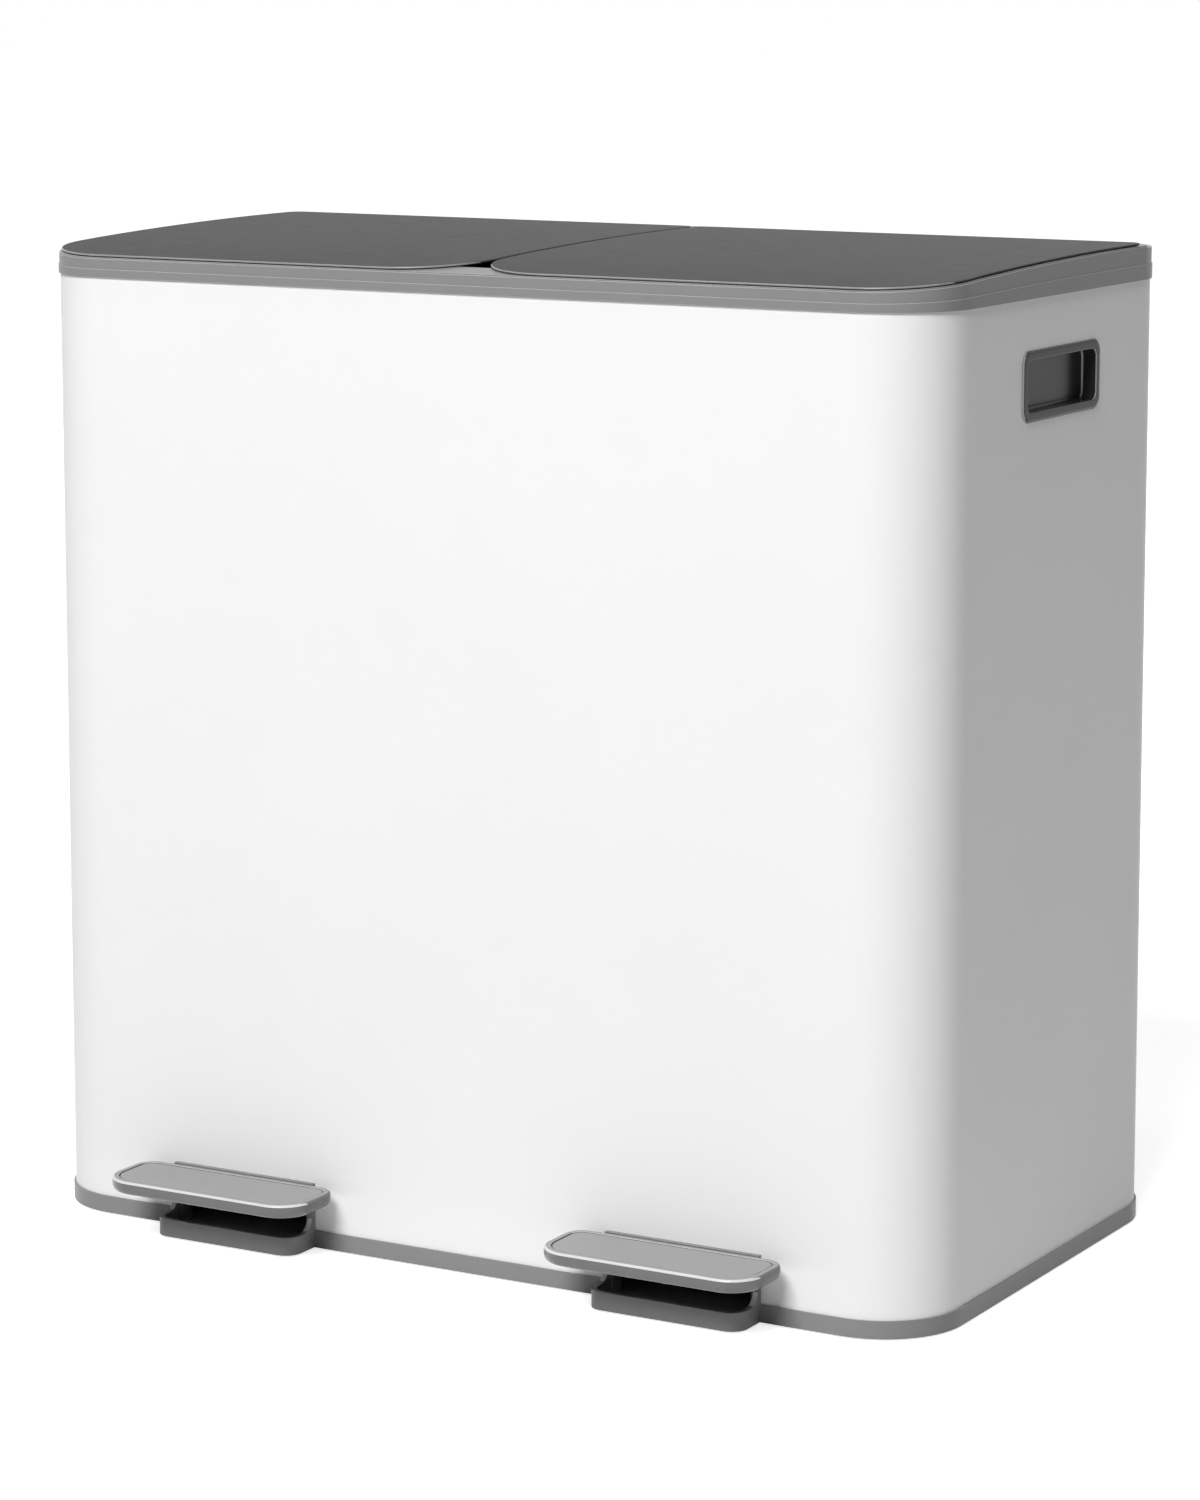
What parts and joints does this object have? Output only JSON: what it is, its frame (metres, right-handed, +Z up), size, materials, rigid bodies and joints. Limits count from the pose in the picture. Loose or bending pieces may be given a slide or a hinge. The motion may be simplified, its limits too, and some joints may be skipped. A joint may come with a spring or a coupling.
{
  "type": "double pedal bin",
  "caption": "Rectangular pedal bin with rounded corners, side-by-side hinged lids each opened by its own front pedal, recessed side handles and lift-out inner buckets.",
  "frame": {"origin": "on the floor, under the middle of the bin's overall box, pedals included", "axes": "+X to the right along the width, seen from the front; -Y out of the front, where the pedals are; +Z up"},
  "size_m": [0.5924, 0.387, 0.5862],
  "materials": {
    "shell_white": "satin powder coat",
    "rim_grey": "satin moulded",
    "lid_grey": "fine satin coat",
    "liner_grey": "moulded",
    "pedal_grey": "satin silver-grey",
    "pad_grey": "fine grain",
    "handle_grey": "gloss",
    "bucket_black": "moulded",
    "guide_black": "moulded",
    "plated_steel": "zinc plated",
    "rubber_black": "matt"
  },
  "bodies": {
    "housing": {"outer_shell": "shell_white", "top_rim": "rim_grey", "base_tray": "rim_grey", "rubber_feet": "rubber_black", "guide_rivets": "plated_steel", "handle_cup_left": "handle_grey", "hinge_pins_left": "plated_steel", "rod_guides_left": "guide_black", "axle_bracket_left": "plated_steel", "bracket_screws_left": "plated_steel", "lever_axle_left": "plated_steel", "lid_bumpers_left": "rubber_black", "handle_cup_right": "handle_grey", "hinge_pins_right": "plated_steel", "rod_guides_right": "guide_black", "axle_bracket_right": "plated_steel", "bracket_screws_right": "plated_steel", "lever_axle_right": "plated_steel", "lid_bumpers_right": "rubber_black"},
    "lid_left": {"lid_cover_left": "lid_grey", "lid_liner_left": "liner_grey", "drive_pin_left": "plated_steel"},
    "rod_left": {"push_rod_left": "plated_steel"},
    "pedal_left": {"pedal_lever_left": "plated_steel", "rod_pin_left": "plated_steel", "pedal_screws_left": "plated_steel", "pedal_body_left": "pedal_grey", "pedal_pad_left": "pad_grey"},
    "pail_left": {"bucket_left": "bucket_black"},
    "lid_right": {"lid_cover_right": "lid_grey", "lid_liner_right": "liner_grey", "drive_pin_right": "plated_steel"},
    "rod_right": {"push_rod_right": "plated_steel"},
    "pedal_right": {"pedal_lever_right": "plated_steel", "rod_pin_right": "plated_steel", "pedal_screws_right": "plated_steel", "pedal_body_right": "pedal_grey", "pedal_pad_right": "pad_grey"},
    "pail_right": {"bucket_right": "bucket_black"}
  },
  "joints": [
    {"name": "lid_left_hinge", "type": "hinge", "parent": "housing", "child": "lid_left", "pos_m": [-0.1474, 0.16205, 0.574], "axis": [-1, 0, 0], "range_deg": [0, 80]},
    {"name": "pedal_left_press", "type": "hinge", "parent": "housing", "child": "pedal_left", "pos_m": [-0.1474, -0.04895, 0.023], "axis": [1, 0, 0], "range_deg": [0, 7.62]},
    {"name": "rod_left_lift", "type": "slide", "parent": "housing", "child": "rod_left", "axis": [0, 0, 1], "range_m": [0, 0.02575]},
    {"name": "bucket_left_lift", "type": "slide", "parent": "housing", "child": "pail_left", "axis": [0, 0, 1], "range_m": [0, 0.01]},
    {"name": "lid_right_hinge", "type": "hinge", "parent": "housing", "child": "lid_right", "pos_m": [0.1474, 0.16205, 0.574], "axis": [-1, 0, 0], "range_deg": [0, 80]},
    {"name": "pedal_right_press", "type": "hinge", "parent": "housing", "child": "pedal_right", "pos_m": [0.1474, -0.04895, 0.023], "axis": [1, 0, 0], "range_deg": [0, 7.62]},
    {"name": "rod_right_lift", "type": "slide", "parent": "housing", "child": "rod_right", "axis": [0, 0, 1], "range_m": [0, 0.02575]},
    {"name": "bucket_right_lift", "type": "slide", "parent": "housing", "child": "pail_right", "axis": [0, 0, 1], "range_m": [0, 0.01]}
  ],
  "couplings": [
    {"joint": "pedal_left_press", "follows": "lid_left_hinge", "ratio": 0.0951},
    {"joint": "rod_left_lift", "follows": "lid_left_hinge", "m_per_rad": 0.018415},
    {"joint": "pedal_right_press", "follows": "lid_right_hinge", "ratio": 0.0951},
    {"joint": "rod_right_lift", "follows": "lid_right_hinge", "m_per_rad": 0.018415}
  ]
}
